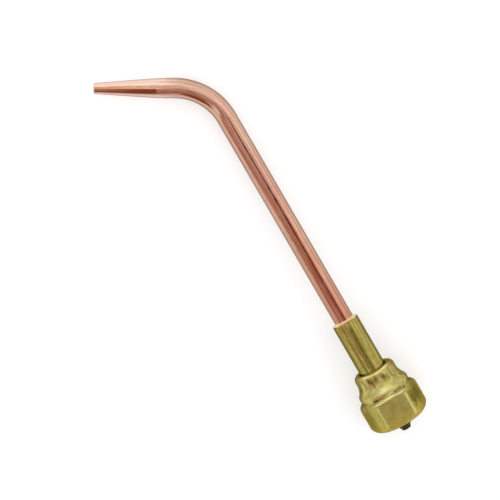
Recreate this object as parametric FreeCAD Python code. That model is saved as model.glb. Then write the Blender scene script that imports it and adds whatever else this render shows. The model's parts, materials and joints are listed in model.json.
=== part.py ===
import FreeCAD, Part
import math
import os

# Copper brazing tip: a swaged and bent tube brazed into a turned brass tail, held by a loose hexagon union nut.
# Every size is in millimetres and every angle in degrees.
# The tube and tail are drawn upright about the straight tube's centre line, with height 0 at the edge where the
# tail's collar starts to narrow towards the sleeve. The nut is drawn upright with height 0 at its threaded mouth.
# Both are then laid down as the tip rests on a bench: the nut flat on one side, the tube sloping down to its bend.

# Copper tube
tube_diameter = 6.35
tube_wall = 1.65
straight_run = 74.3
bend_radius = 19.05
bend_turn = 60.0

# Swaged outlet of the tube
outlet_diameter = 3.4
outlet_orifice = 1.3
outlet_land = 4.5
outlet_edge_round = 0.25
outlet_countersink = 0.15
swage_length = 20.6
swage_blend = 4.2
swage_lead = 0.2

# Brass tail: sleeve that takes the tube
sleeve_diameter = 8.73
sleeve_length = 25.1
sleeve_mouth_chamfer = 0.2
socket_depth = 21.0
braze_gap = 0.05
braze_width = 0.8
braze_height = 0.7

# Brass tail: collar that the nut pulls on, boss, stem and nose
collar_diameter = 11.8
collar_length = 2.8
collar_edge = 0.3
boss_diameter = 6.2
boss_length = 3.0
stem_diameter = 3.2
stem_length = 9.0
stem_fillet = 0.5
nose_lip = 0.8
nose_lip_round = 0.45
gas_passage = 1.5
jet_orifice = 0.8
jet_length = 6.0
port_diameter = 0.8
port_count = 4
port_offset = 1.2

# Rubber seals in their grooves
nose_seal_section = 1.0
nose_groove_depth = 0.58
boss_seal_section = 1.4
boss_groove_depth = 0.8
groove_play = 0.1
seal_gap = 0.01

# Union nut
hex_across_flats = 17.46
hex_height = 10.6
hex_mouth_diameter = 16.2
hex_mouth_bevel = 2.3
hex_mouth_round = 3.8
hex_shoulder_diameter = 16.9
hex_shoulder_bevel = 1.7
hex_shoulder_round = 2.6
nut_height = 19.4
bell_foot_diameter = 17.0
bell_groove_diameter = 16.7
bell_groove_width = 0.35
bell_foot_height = 2.1
bell_foot_round = 3.0
bell_curve_round = 8.5
bell_neck_diameter = 14.0
bell_neck_height = 1.9
bead_height = 1.7
bead_width = 1.4
bead_round = 1.65
hole_clearance = 0.28
hole_chamfer = 0.35
thread_diameter = 14.288
thread_pitch = 25.4 / 18
thread_length = 8.3
thread_relief_width = 1.6
thread_relief_depth = 0.1
nut_socket_depth = 12.6
nut_socket_clearance = 0.6
nut_end_play = 1.0

# The way it lies on the bench
rest_roll = 2.0

ROUND = 360.0
HEX_TURN = 60.0
UP = FreeCAD.Vector(0, 0, 1)
ACROSS = FreeCAD.Vector(0, 1, 0)
START = FreeCAD.Vector(0, 0, 0)

# How far a cutting shape reaches past the face that it cuts
MARGIN = 1.0

# Depth of a nut's thread crest in a unified thread, as a share of its pitch
CREST_SHARE = 0.54127

# Rounds of working out the slope at which the bend meets the bench
SLOPE_ROUNDS = 20

# Radii and levels that several pieces share
tube_radius = tube_diameter / 2
bore_radius = tube_radius - tube_wall
sleeve_radius = sleeve_diameter / 2
collar_radius = collar_diameter / 2
stem_radius = stem_diameter / 2
boss_radius = boss_diameter / 2
sleeve_mouth = sleeve_length
tube_end = sleeve_mouth - socket_depth
bend_start = sleeve_mouth + straight_run
boss_level = -collar_length
stem_level = boss_level - boss_length
nose_end = stem_level - stem_length
hole_radius = sleeve_radius + hole_clearance
shoulder_end = nut_socket_depth + collar_radius - hole_radius
hole_middle = (shoulder_end + nut_height) / 2
nut_mouth = nut_end_play - nut_socket_depth
nut_pivot = nut_mouth + hole_middle
thread_crest_radius = thread_diameter / 2 - CREST_SHARE * thread_pitch


def at(radius, height):
    return FreeCAD.Vector(radius, 0, height)


def line(start, end):
    return Part.LineSegment(start, end).toShape()


def arc(start, end, radius):
    """Arc from start to end that bulges to the right of the way it runs."""
    chord = end - start
    half = chord.Length / 2
    sagitta = radius - math.sqrt(radius * radius - half * half)
    side = FreeCAD.Vector(chord.z, 0, -chord.x).normalize()
    return Part.Arc(start, (start + end) * 0.5 + side * sagitta, end).toShape()


def turned(edges):
    """Solid of revolution about the upright centre line."""
    return Part.Face(Part.Wire(edges)).revolve(START, UP, ROUND)


def turned_polygon(points):
    outline = [at(radius, height) for radius, height in points]
    return Part.Face(Part.makePolygon(outline + outline[:1])).revolve(START, UP, ROUND)


def rod(radius, low, high):
    return Part.makeCylinder(radius, high - low, at(0, low), UP)


def ring(section, inner_radius, height):
    """Round rubber ring whose hole has the inner radius given."""
    return Part.makeTorus(inner_radius + section / 2, section / 2, at(0, height), UP)


def bend_point():
    """Centre of the tube where the bend ends."""
    turn = math.radians(bend_turn)
    return at(bend_radius * (1 - math.cos(turn)), bend_start + bend_radius * math.sin(turn))


def swaged_outlet():
    """Straight leg past the bend, drawn upright from height 0: a long cone with a drilled land at its end."""
    outlet_radius = outlet_diameter / 2
    orifice_radius = outlet_orifice / 2
    knee = swage_lead + swage_blend
    end = knee + swage_length
    slope = math.atan2(tube_radius - outlet_radius, swage_length)
    blend_start = at(tube_radius, swage_lead)
    blend_end = at(tube_radius - swage_blend * math.sin(slope), knee + swage_blend * math.cos(slope))
    blend_radius = swage_blend / math.tan(slope / 2)
    edge_low = at(outlet_radius + outlet_edge_round * math.tan(slope), end - outlet_edge_round)
    edge_high = at(outlet_radius - outlet_edge_round, end)
    sink_high = at(orifice_radius + outlet_countersink, end)
    sink_low = at(orifice_radius, end - outlet_countersink)
    outline = [
        line(at(bore_radius, 0), at(tube_radius, 0)),
        line(at(tube_radius, 0), blend_start),
        arc(blend_start, blend_end, blend_radius),
        line(blend_end, edge_low),
        arc(edge_low, edge_high, outlet_edge_round),
        line(edge_high, sink_high),
        line(sink_high, sink_low),
        line(sink_low, at(orifice_radius, end - outlet_land)),
        line(at(orifice_radius, end - outlet_land), at(bore_radius, knee)),
        line(at(bore_radius, knee), at(bore_radius, 0)),
    ]
    return turned(outline)


def tip_tube():
    """Copper tube: straight run, bend and swaged outlet, hollow from end to end."""
    straight = rod(tube_radius, tube_end, bend_start).cut(rod(bore_radius, tube_end, bend_start))
    outer = Part.Wire(Part.makeCircle(tube_radius, at(0, bend_start), UP))
    inner = Part.Wire(Part.makeCircle(bore_radius, at(0, bend_start), UP))
    section = Part.Face([outer, inner])
    bend = section.revolve(at(bend_radius, bend_start), ACROSS, bend_turn)
    leg = swaged_outlet()
    leg.rotate(START, ACROSS, bend_turn)
    leg.translate(bend_point())
    return straight.fuse([bend, leg]).removeSplitter()


def tail_outside():
    """Outline of the tail from the nose up to the sleeve's mouth."""
    lip_radius = stem_radius - nose_lip_round
    chamfer = sleeve_mouth_chamfer
    outline = [
        line(at(0, nose_end), at(lip_radius, nose_end)),
        arc(at(lip_radius, nose_end), at(stem_radius, nose_end + nose_lip_round), nose_lip_round),
        line(at(stem_radius, nose_end + nose_lip_round), at(stem_radius, stem_level - stem_fillet)),
        arc(at(stem_radius + stem_fillet, stem_level), at(stem_radius, stem_level - stem_fillet), stem_fillet),
        line(at(stem_radius + stem_fillet, stem_level), at(boss_radius, stem_level)),
        line(at(boss_radius, stem_level), at(boss_radius, boss_level)),
        line(at(boss_radius, boss_level), at(collar_radius - collar_edge, boss_level)),
        line(at(collar_radius - collar_edge, boss_level), at(collar_radius, boss_level + collar_edge)),
        line(at(collar_radius, boss_level + collar_edge), at(collar_radius, 0)),
        line(at(collar_radius, 0), at(sleeve_radius, collar_radius - sleeve_radius)),
        line(at(sleeve_radius, collar_radius - sleeve_radius), at(sleeve_radius, sleeve_mouth - chamfer)),
        line(at(sleeve_radius, sleeve_mouth - chamfer), at(sleeve_radius - chamfer, sleeve_mouth)),
        line(at(sleeve_radius - chamfer, sleeve_mouth), at(0, sleeve_mouth)),
        line(at(0, sleeve_mouth), at(0, nose_end)),
    ]
    return turned(outline)


def groove(outer_radius, depth, low, high):
    blank = rod(outer_radius + MARGIN, low, high)
    return blank.cut(rod(outer_radius - depth, low, high))


def nose_seal_level():
    return nose_end + nose_lip + (nose_seal_section + groove_play) / 2


def boss_seal_level():
    return stem_level + boss_length / 2


def seal_groove(outer_radius, depth, section, level):
    half_width = (section + groove_play) / 2
    return groove(outer_radius, depth, level - half_width, level + half_width)


def gas_ports():
    """Cross holes in the stem that let the fuel gas into the centre passage."""
    level = stem_level - stem_fillet - port_offset
    ports = []
    for number in range(port_count):
        port = Part.makeCylinder(port_diameter / 2, stem_radius + MARGIN, at(0, level), FreeCAD.Vector(1, 0, 0))
        port.rotate(START, UP, ROUND * (number + 0.5) / port_count)
        ports.append(port)
    return ports


def tail_body():
    """Turned brass tail: sleeve, collar, grooved boss, stem and grooved nose on one drilled centre line."""
    jet_top = nose_end + jet_length
    cuts = [
        rod(tube_radius + braze_gap, tube_end, sleeve_mouth),
        rod(bore_radius, 0, tube_end),
        rod(gas_passage / 2, jet_top, 0),
        rod(jet_orifice / 2, nose_end, jet_top),
        seal_groove(stem_radius, nose_groove_depth, nose_seal_section, nose_seal_level()),
        seal_groove(boss_radius, boss_groove_depth, boss_seal_section, boss_seal_level()),
    ]
    return tail_outside().cut(cuts + gas_ports())


def braze_fillet():
    """Ring of filler metal that closes the corner between the tube and the sleeve's mouth."""
    foot = at(tube_radius + braze_width, sleeve_mouth)
    top = at(tube_radius, sleeve_mouth + braze_height)
    heel = at(tube_radius, sleeve_mouth)
    hollow_radius = math.hypot(braze_width, braze_height)
    return turned([line(heel, foot), arc(top, foot, hollow_radius), line(top, heel)])


def nose_seal():
    return ring(nose_seal_section, stem_radius - nose_groove_depth + seal_gap, nose_seal_level())


def boss_seal():
    return ring(boss_seal_section, boss_radius - boss_groove_depth + seal_gap, boss_seal_level())


def nut_hexagon():
    """Hexagon with both ends turned to a soft bevel."""
    corner_radius = hex_across_flats / 2 / math.cos(math.radians(HEX_TURN / 2))
    reach = corner_radius + thread_relief_depth
    turns = [FreeCAD.Rotation(UP, HEX_TURN * number) for number in range(7)]
    corners = [turn.multVec(at(corner_radius, 0)) for turn in turns]
    prism = Part.Face(Part.makePolygon(corners)).extrude(UP * hex_height)
    mouth_edge = at(hex_mouth_diameter / 2, 0)
    mouth_bevel = at(reach, hex_mouth_bevel)
    shoulder_bevel = at(reach, hex_height - hex_shoulder_bevel)
    shoulder_edge = at(hex_shoulder_diameter / 2, hex_height)
    envelope = turned([
        line(at(0, 0), mouth_edge),
        arc(mouth_edge, mouth_bevel, hex_mouth_round),
        line(mouth_bevel, shoulder_bevel),
        arc(shoulder_bevel, shoulder_edge, hex_shoulder_round),
        line(shoulder_edge, at(0, hex_height)),
        line(at(0, hex_height), at(0, 0)),
    ])
    return prism.common(envelope)


def nut_bell():
    """Forged bell above the hexagon: a rounded foot, a hollow flank, a straight neck and a rounded rim."""
    groove_radius = bell_groove_diameter / 2
    foot_radius = bell_foot_diameter / 2
    neck_radius = bell_neck_diameter / 2
    root = hex_height - MARGIN
    groove_top = hex_height + bell_groove_width
    neck_top = nut_height - bead_height
    foot_side = at(foot_radius, groove_top + foot_radius - groove_radius)
    flank_foot = at(foot_radius, hex_height + bell_foot_height)
    neck_foot = at(neck_radius, neck_top - bell_neck_height)
    bead_side = at(neck_radius, neck_top)
    bead_top = at(neck_radius - bead_width, nut_height)
    return turned([
        line(at(0, root), at(groove_radius, root)),
        line(at(groove_radius, root), at(groove_radius, groove_top)),
        line(at(groove_radius, groove_top), foot_side),
        arc(foot_side, flank_foot, bell_foot_round),
        arc(neck_foot, flank_foot, bell_curve_round),
        line(neck_foot, bead_side),
        arc(bead_side, bead_top, bead_round),
        line(bead_top, at(0, nut_height)),
        line(at(0, nut_height), at(0, root)),
    ])


def nut_inside():
    """Room inside the nut: thread at its crest, run-out relief, collar space, sloped shoulder and sleeve hole."""
    crest = thread_crest_radius
    relief_radius = thread_diameter / 2 + thread_relief_depth
    space_radius = collar_radius + nut_socket_clearance
    relief_top = thread_length + thread_relief_width
    return turned_polygon([
        (0, -MARGIN),
        (relief_radius + MARGIN, -MARGIN),
        (crest, relief_radius - crest),
        (crest, thread_length),
        (relief_radius, thread_length + relief_radius - crest),
        (relief_radius, relief_top - relief_radius + space_radius),
        (space_radius, relief_top),
        (space_radius, nut_socket_depth - nut_socket_clearance),
        (hole_radius, shoulder_end),
        (hole_radius, nut_height - hole_chamfer),
        (hole_radius + hole_chamfer + MARGIN, nut_height + MARGIN),
        (0, nut_height + MARGIN),
    ])


def union_nut():
    return nut_hexagon().fuse(nut_bell()).cut(nut_inside()).removeSplitter()


def rest_pitch():
    """Angle that the tube slopes down from the level nut until its bend touches the bench."""
    roll = math.radians(rest_roll)
    pitch = 0.0
    for _ in range(SLOPE_ROUNDS):
        sideways = math.sin(roll) * math.cos(pitch)
        drop = hex_across_flats / 2 - tube_radius
        drop += bend_radius * (sideways - math.hypot(sideways, math.sin(pitch)))
        pitch = math.asin(drop / (bend_start - nut_pivot))
    return math.degrees(pitch)


def turned_about(height, rotation):
    """Placement that brings the centre line's point at this height to the origin and turns all about it."""
    return FreeCAD.Placement(at(0, -height), rotation, at(0, height)).toMatrix()


def lay_down(tip, nut):
    """Lay the tip down about the middle of the nut's hole, and the nut level on one flat around it."""
    lie = FreeCAD.Rotation(FreeCAD.Vector(1, 1, 1), 120)
    roll = FreeCAD.Rotation(FreeCAD.Vector(1, 0, 0), rest_roll)
    pitch = FreeCAD.Rotation(FreeCAD.Vector(0, 1, 0), rest_pitch())
    tip_turn = turned_about(nut_pivot, pitch.multiply(roll).multiply(lie))
    nut_turn = turned_about(hole_middle, lie)
    laid = {name: shape.transformed(tip_turn, True) for name, shape in tip.items()}
    laid.update({name: shape.transformed(nut_turn, True) for name, shape in nut.items()})
    box = Part.makeCompound(list(laid.values())).optimalBoundingBox(False)
    middle = FreeCAD.Vector(-box.Center.x, -box.Center.y, -box.ZMin)
    for shape in laid.values():
        shape.translate(middle)
    return laid


def main():
    tip = {
        "tip_tube": tip_tube(),
        "tail_body": tail_body(),
        "braze_fillet": braze_fillet(),
        "nose_seal": nose_seal(),
        "boss_seal": boss_seal(),
    }
    nut = {"union_nut": union_nut()}
    os.makedirs("parts", exist_ok=True)
    for name, shape in lay_down(tip, nut).items():
        shape.exportStep("parts/" + name + ".step")


main()
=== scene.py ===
"""Looks of a copper brazing tip: a bent and swaged tube, a turned brass tail and a forged union nut."""

import json
import math

import bpy
from bpy.props import FloatProperty, FloatVectorProperty, IntProperty, PointerProperty
from mathutils import Matrix, Vector


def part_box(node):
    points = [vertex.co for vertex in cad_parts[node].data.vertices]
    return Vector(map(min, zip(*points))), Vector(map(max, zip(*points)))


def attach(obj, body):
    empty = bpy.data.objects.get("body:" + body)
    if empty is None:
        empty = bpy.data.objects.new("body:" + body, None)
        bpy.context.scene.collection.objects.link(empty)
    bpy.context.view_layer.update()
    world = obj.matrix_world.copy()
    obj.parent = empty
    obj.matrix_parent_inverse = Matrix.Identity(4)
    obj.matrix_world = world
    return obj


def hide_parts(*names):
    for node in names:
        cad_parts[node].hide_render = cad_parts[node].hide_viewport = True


bl_info = {
    "name": "Brazing Tip",
    "version": (1, 0, 0),
    "blender": (4, 5, 0),
    "location": "View3D > Sidebar > Brazing Tip",
    "description": "Models a copper brazing tip with its brass tail and union nut",
    "category": "Object",
}

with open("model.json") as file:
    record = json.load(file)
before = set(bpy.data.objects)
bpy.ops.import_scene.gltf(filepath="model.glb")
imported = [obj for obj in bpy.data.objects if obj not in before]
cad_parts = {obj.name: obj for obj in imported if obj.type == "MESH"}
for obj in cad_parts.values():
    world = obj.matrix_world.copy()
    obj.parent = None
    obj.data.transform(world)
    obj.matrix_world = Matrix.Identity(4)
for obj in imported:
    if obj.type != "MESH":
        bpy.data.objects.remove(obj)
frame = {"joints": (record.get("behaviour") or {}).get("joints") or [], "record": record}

MM = 0.001
FULL_TURN = 2 * math.pi
HEX_TURN = math.radians(60)
IMAGE_PIXELS = 500
SENSOR_WIDTH = 36.0

# Depth of an internal unified thread as a share of its pitch
THREAD_DEPTH = 0.54127

# Name of the attribute that holds where a point is on the piece drawn upright and unbent
UPRIGHT = "upright"


def mount(name):
    """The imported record's mount of this name."""
    return next(found for found in frame["record"]["mounts"] if found["name"] == name)


# The nut turns about this point, which is on the centre lines of the nut and of the tail
SPIN_POINT = Vector(frame["joints"][0]["pos_m"])
TIP_AXIS = -Vector(mount("nose_plug")["axis"]).normalized()
NUT_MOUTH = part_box("union_nut")[0].x


def colour(red, green, blue):
    """Linear colour of three values from 0 to 255 as a picture gives them."""
    linear = []
    for value in (red, green, blue):
        share = value / 255
        linear.append(share / 12.92 if share <= 0.04045 else ((share + 0.055) / 1.055) ** 2.4)
    return tuple(linear)


def number(name, description, value, **more):
    return FloatProperty(name=name, description=description, default=value, **more)


def in_mm(name, description, millimetres):
    return number(name, description, millimetres * MM, unit="LENGTH", precision=5)


def in_degrees(name, description, degrees):
    return number(name, description, math.radians(degrees), subtype="ANGLE")


class BrazingTipTube(bpy.types.PropertyGroup):
    diameter: in_mm("Diameter", "Outside of the copper tube", 6.35)
    wall: in_mm("Wall", "Thickness of the tube's wall", 1.65)
    straight_run: in_mm("Straight run", "From the sleeve's mouth to the bend", 74.3)
    bend_radius: in_mm("Bend radius", "Radius of the bend's centre line", 19.05)
    bend_turn: in_degrees("Bend", "Angle of the bend", 60)
    roll: in_degrees("Roll", "Turn of the bend away from the bench", 2)
    outlet_diameter: in_mm("Outlet", "Outside of the swaged end", 3.4)
    orifice: in_mm("Orifice", "Hole in the swaged end", 1.3)
    land: in_mm("Land", "Length of the drilled hole", 4.5)
    edge_round: in_mm("Edge round", "Radius of the edge round the end face", 0.25)
    countersink: in_mm("Countersink", "Width of the chamfer round the hole", 0.15)
    swage_lead: in_mm("Swage lead", "Straight tube between the bend and the swage", 0.2)
    swage_blend: in_mm("Swage blend", "Half the length of the curve that starts the cone", 4.2)
    swage_length: in_mm("Swage length", "Length of the cone", 20.6)
    segments: IntProperty(name="Segments", description="Faces round the tube", default=96, min=24)


class BrazingTipTail(bpy.types.PropertyGroup):
    sleeve_diameter: in_mm("Sleeve", "Outside of the sleeve", 8.73)
    sleeve_length: in_mm("Sleeve length", "From the collar's upper edge to the mouth", 25.1)
    mouth_chamfer: in_mm("Mouth chamfer", "Chamfer round the sleeve's mouth", 0.2)
    socket_depth: in_mm("Socket depth", "How far the tube goes into the sleeve", 21.0)
    braze_gap: in_mm("Braze gap", "Room between the tube and the socket", 0.05)
    braze_width: in_mm("Braze width", "Width of the fillet on the sleeve's mouth", 0.8)
    braze_height: in_mm("Braze height", "Height of the fillet on the tube", 0.7)
    heat_reach: in_mm("Heat reach", "How far the brazing heat reddened the tube", 42.0)
    collar_diameter: in_mm("Collar", "Outside of the collar", 11.8)
    collar_length: in_mm("Collar length", "Length of the collar", 2.8)
    collar_edge: in_mm("Collar edge", "Chamfer under the collar", 0.3)
    boss_diameter: in_mm("Boss", "Outside of the boss", 6.2)
    boss_length: in_mm("Boss length", "Length of the boss", 3.0)
    stem_diameter: in_mm("Stem", "Outside of the stem and nose", 3.2)
    stem_length: in_mm("Stem length", "From the boss to the end of the nose", 9.0)
    stem_fillet: in_mm("Stem fillet", "Round where the stem meets the boss", 0.5)
    nose_lip: in_mm("Nose lip", "Length of the nose in front of its groove", 0.8)
    nose_round: in_mm("Nose round", "Radius of the nose's edge", 0.45)
    gas_passage: in_mm("Gas passage", "Hole down the middle", 1.5)
    jet: in_mm("Jet", "Hole in the nose", 0.8)
    jet_length: in_mm("Jet length", "Depth of the narrow hole in the nose", 6.0)
    port: in_mm("Port", "Each cross hole in the stem", 0.8)
    port_offset: in_mm("Port place", "From the stem's fillet to the cross holes", 1.2)
    nose_seal: in_mm("Nose seal", "Thickness of the seal on the nose", 1.0)
    nose_groove: in_mm("Nose groove", "Depth of the nose's groove", 0.58)
    boss_seal: in_mm("Boss seal", "Thickness of the seal on the boss", 1.4)
    boss_groove: in_mm("Boss groove", "Depth of the boss's groove", 0.8)
    groove_play: in_mm("Groove play", "Room beside a seal in its groove", 0.1)
    seal_gap: in_mm("Seal gap", "Room under a seal in its groove", 0.01)
    seal_flash: in_mm("Moulding line", "Height of the moulding line round a seal", 0.025)
    edge_round: in_mm("Edge round", "Width of the round on turned edges", 0.07)
    segments: IntProperty(name="Segments", description="Faces round the tail", default=128, min=24)


class BrazingTipNut(bpy.types.PropertyGroup):
    across_flats: in_mm("Across flats", "Width of the hexagon", 17.46)
    hex_height: in_mm("Hexagon height", "Height of the hexagon", 10.6)
    mouth_diameter: in_mm("Mouth edge", "Diameter where the mouth's bevel starts", 16.2)
    mouth_bevel: in_mm("Mouth bevel", "Height of the mouth's bevel", 2.3)
    mouth_round: in_mm("Mouth round", "Radius of the mouth's bevel", 3.8)
    shoulder_diameter: in_mm("Shoulder edge", "Diameter where the shoulder's bevel ends", 16.9)
    shoulder_bevel: in_mm("Shoulder bevel", "Height of the shoulder's bevel", 1.7)
    shoulder_round: in_mm("Shoulder round", "Radius of the shoulder's bevel", 2.6)
    height: in_mm("Height", "Height of the whole nut", 19.4)
    foot_diameter: in_mm("Bell foot", "Widest part of the bell", 17.0)
    groove_diameter: in_mm("Bell groove", "Line between the hexagon and the bell", 16.7)
    groove_width: in_mm("Groove width", "Width of that line", 0.35)
    foot_height: in_mm("Foot height", "Height of the bell's foot", 2.1)
    foot_round: in_mm("Foot round", "Radius of the bell's foot", 3.0)
    curve_round: in_mm("Flank curve", "Radius of the bell's hollow flank", 8.5)
    neck_diameter: in_mm("Neck", "Diameter of the bell's neck", 14.0)
    neck_height: in_mm("Neck height", "Straight part of the neck", 1.9)
    bead_height: in_mm("Rim height", "Height of the rounded rim", 1.7)
    bead_width: in_mm("Rim width", "Width of the rounded rim", 1.4)
    bead_round: in_mm("Rim round", "Radius of the rounded rim", 1.65)
    hole_clearance: in_mm("Hole clearance", "Room between the sleeve and the hole", 0.28)
    hole_chamfer: in_mm("Hole chamfer", "Chamfer round the hole", 0.35)
    thread_diameter: in_mm("Thread", "Major diameter of the internal thread", 14.288)
    thread_pitch: in_mm("Pitch", "Pitch of the thread, 18 to the inch", 25.4 / 18)
    thread_length: in_mm("Thread length", "Depth of full thread", 8.3)
    relief_width: in_mm("Relief width", "Width of the run-out groove", 1.6)
    relief_depth: in_mm("Relief depth", "Depth of the run-out groove past the thread", 0.1)
    socket_depth: in_mm("Socket depth", "Depth of the room for the collar", 12.6)
    socket_clearance: in_mm("Socket clearance", "Room round the collar", 0.6)
    end_play: in_mm("End play", "How far the collar is below the shoulder that it pulls on", 1.0)
    grid: in_mm("Grid", "Size of the faces of the forging", 0.17)
    unevenness: in_mm("Unevenness", "Depth of the forged bell's uneven skin", 0.1)
    segments: IntProperty(name="Segments", description="Faces round the blank", default=180, min=24)


class BrazingTipStage(bpy.types.PropertyGroup):
    floor_size: number("Floor", "Width of the floor", 8.0, unit="LENGTH")
    floor_colour: FloatVectorProperty(
        name="Floor colour", description="Colour of the floor", default=colour(250, 250, 250), subtype="COLOR",
        min=0, max=1,
    )
    floor_lift: number("Floor lift", "White added where the floor is seen", 0.4)
    room_light: number("Room light", "Brightness of the room", 0.7)
    reflected_light: number("Reflected light", "Brightness of the room as the metal reflects it", 0.95)
    view_distance: number("Distance", "From the camera to the middle of the tip", 0.909, unit="LENGTH")
    view_scale: number("Scale", "Pixels of the 500 pixel image for each millimetre at that distance", 3.1665)
    view_x: number("Left to right", "Pixel column of the frame's origin", 262.01)
    view_y: number("Top to bottom", "Pixel row of the frame's origin", 247.57)


class BrazingTipSettings(bpy.types.PropertyGroup):
    tube: PointerProperty(type=BrazingTipTube)
    tail: PointerProperty(type=BrazingTipTail)
    nut: PointerProperty(type=BrazingTipNut)
    stage: PointerProperty(type=BrazingTipStage)


def settings():
    return bpy.context.scene.brazing_tip


# Places of the tip and the nut

def tip_place():
    """Matrix that lays down what is drawn upright on the tail's centre line."""
    nut, tube = settings().nut, settings().tube
    spin_height = SPIN_POINT.x - NUT_MOUTH
    rolled = Vector((0, math.cos(tube.roll), math.sin(tube.roll)))
    bend_side = (rolled - rolled.dot(TIP_AXIS) * TIP_AXIS).normalized()
    turn = Matrix((bend_side, TIP_AXIS.cross(bend_side), TIP_AXIS)).transposed().to_4x4()
    collar_to_spin = spin_height - nut.socket_depth + nut.end_play
    return Matrix.Translation(SPIN_POINT - TIP_AXIS * collar_to_spin) @ turn


def nut_place():
    """Matrix that lays down what is drawn upright on the nut's centre line."""
    turn = Matrix(((0, 0, 1), (1, 0, 0), (0, 1, 0))).to_4x4()
    return Matrix.Translation(Vector((NUT_MOUTH, SPIN_POINT.y, SPIN_POINT.z))) @ turn


# Tones of the nut's marks and painted shade, and of the painted highlights on its edges, and the tint of copper
# and brass seen at a slant
DARK_STAIN = colour(104, 86, 20)
OLIVE_SHADE = colour(112, 102, 48)
CREAM = colour(226, 218, 160)
ROSY = colour(184, 146, 100)
PAINTED_HIGHLIGHT = colour(248, 238, 176)
EDGE_TINT = (0.4, 0.36, 0.34, 1.0)

# Colour of the room near the horizon, as reflections show it
HORIZON = (0.78, 0.75, 0.74, 1.0)

# Marks of use on the nut and patches of painted shade on its hexagon: place and half size in millimetres on the
# upright nut, strength and tone
NUT_MARKS_AND_PAINTED_SHADE = (
    ((3.1, 6.3, 17.3), (1.0, 1.6, 1.5), 0.85, DARK_STAIN),
    ((-1.7, 6.6, 17.0), (1.0, 1.6, 1.3), 0.85, DARK_STAIN),
    ((1.1, 6.8, 17.1), (0.7, 1.2, 0.9), 0.6, DARK_STAIN),
    ((2.4, 6.5, 16.2), (0.5, 1.0, 1.6), 0.6, DARK_STAIN),
    ((-6.7, 3.4, 14.1), (1.0, 1.0, 0.8), 0.8, DARK_STAIN),
    # Darker olive patches at the bell's foot, where it meets the hexagon
    ((4.6, 7.2, 10.9), (1.5, 1.6, 0.8), 0.8, OLIVE_SHADE),
    ((-2.6, 8.0, 10.8), (1.8, 1.4, 0.6), 0.8, OLIVE_SHADE),
    ((0.6, 8.1, 13.2), (2.0, 1.8, 1.8), 0.75, CREAM),
    ((-6.1, 3.1, 17.6), (1.2, 2.0, 1.2), 0.7, ROSY),
    ((-7.8, 3.7, 10.6), (1.2, 1.6, 1.0), 0.7, ROSY),
    ((5.7, 2.9, 18.6), (1.2, 1.4, 0.9), 0.6, ROSY),
    ((9.0, 1.8, 8.9), (1.0, 2.0, 1.2), 0.6, ROSY),
    # Painted shade: large olive patches that darken the hexagon's side faces
    ((-6.6, 6.2, 6.0), (2.8, 3.2, 4.6), 0.9, OLIVE_SHADE),
    ((-8.6, 3.2, 6.6), (2.4, 4.0, 5.0), 0.9, OLIVE_SHADE),
    ((8.8, 2.3, 5.5), (2.0, 4.0, 4.5), 0.4, OLIVE_SHADE),
    ((6.4, 2.7, 15.0), (0.8, 1.2, 2.0), 0.6, DARK_STAIN),
)


# Modelling

def arc_points(start, end, radius, steps):
    """Points after start on the arc to end that bulges to the right of the way it runs."""
    start, end = Vector(start), Vector(end)
    chord = end - start
    side = Vector((chord.y, -chord.x)).normalized()
    centre = (start + end) / 2 - side * math.sqrt(radius * radius - (chord.length / 2) ** 2)
    first = start - centre
    sweep = first.angle_signed(end - centre)
    points = []
    for step in range(1, steps + 1):
        turn = Matrix.Rotation(-sweep * step / steps, 2)
        points.append(tuple(centre + turn @ first))
    return points


def add_primitive(operator, **values):
    """Add a mesh with one of Blender's primitive operators and give it back."""
    bpy.ops.object.select_all(action="DESELECT")
    operator(**values)
    return bpy.context.active_object


def edit_all():
    """Enter edit mode with everything selected."""
    bpy.ops.object.mode_set(mode="EDIT")
    bpy.ops.mesh.select_all(action="SELECT")


def start_ring(radius, height, segments):
    """Add a ring of edges about the upright centre line, selected in edit mode."""
    add_primitive(bpy.ops.mesh.primitive_circle_add, vertices=segments, radius=radius, location=(0, 0, height))
    edit_all()


def pull_ring(step, scale, centre):
    """Extrude the selected ring, move it, and scale it about its new centre."""
    bpy.ops.mesh.extrude_region_move(TRANSFORM_OT_translate={"value": step})
    bpy.ops.transform.resize(value=(scale, scale, scale), center_override=centre)


def pull_outline(outline):
    """Pull the selected ring, which stands at the outline's first point, through the other points."""
    radius, height = outline[0]
    for next_radius, next_height in outline[1:]:
        pull_ring((0, 0, next_height - height), next_radius / radius, (0, 0, next_height))
        radius, height = next_radius, next_height


def close_seam():
    """Join the two open ends of the skin."""
    bpy.ops.mesh.select_all(action="DESELECT")
    bpy.ops.mesh.select_mode(type="EDGE")
    bpy.ops.mesh.select_non_manifold()
    bpy.ops.mesh.bridge_edge_loops()


def cap_ends():
    """Close each open end with one flat face."""
    bpy.ops.mesh.select_all(action="SELECT")
    bpy.ops.mesh.fill_holes(sides=0)


def leave_edit(name):
    """Merge doubles, turn the faces outwards and name the new piece."""
    bpy.ops.mesh.select_all(action="SELECT")
    bpy.ops.mesh.remove_doubles(threshold=0.001 * MM)
    bpy.ops.mesh.normals_make_consistent(inside=False)
    bpy.ops.object.mode_set(mode="OBJECT")
    piece = bpy.context.active_object
    piece.name = name
    bpy.ops.object.transform_apply(location=True, rotation=True, scale=True)
    return piece


def turn_piece(name, outline, segments, close=close_seam):
    """Turned piece; its outline closes on itself, or close is the function that closes its ends."""
    start_ring(*outline[0], segments)
    pull_outline(outline)
    close()
    return leave_edit(name)


def select_only(piece):
    bpy.ops.object.select_all(action="DESELECT")
    bpy.context.view_layer.objects.active = piece
    piece.select_set(True)


def finish_with(piece, kind, **values):
    """Give the piece a modifier with these values and apply it."""
    select_only(piece)
    modifier = piece.modifiers.new(kind.title(), kind)
    for name, value in values.items():
        setattr(modifier, name, value)
    bpy.ops.object.modifier_apply(modifier=modifier.name)


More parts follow.
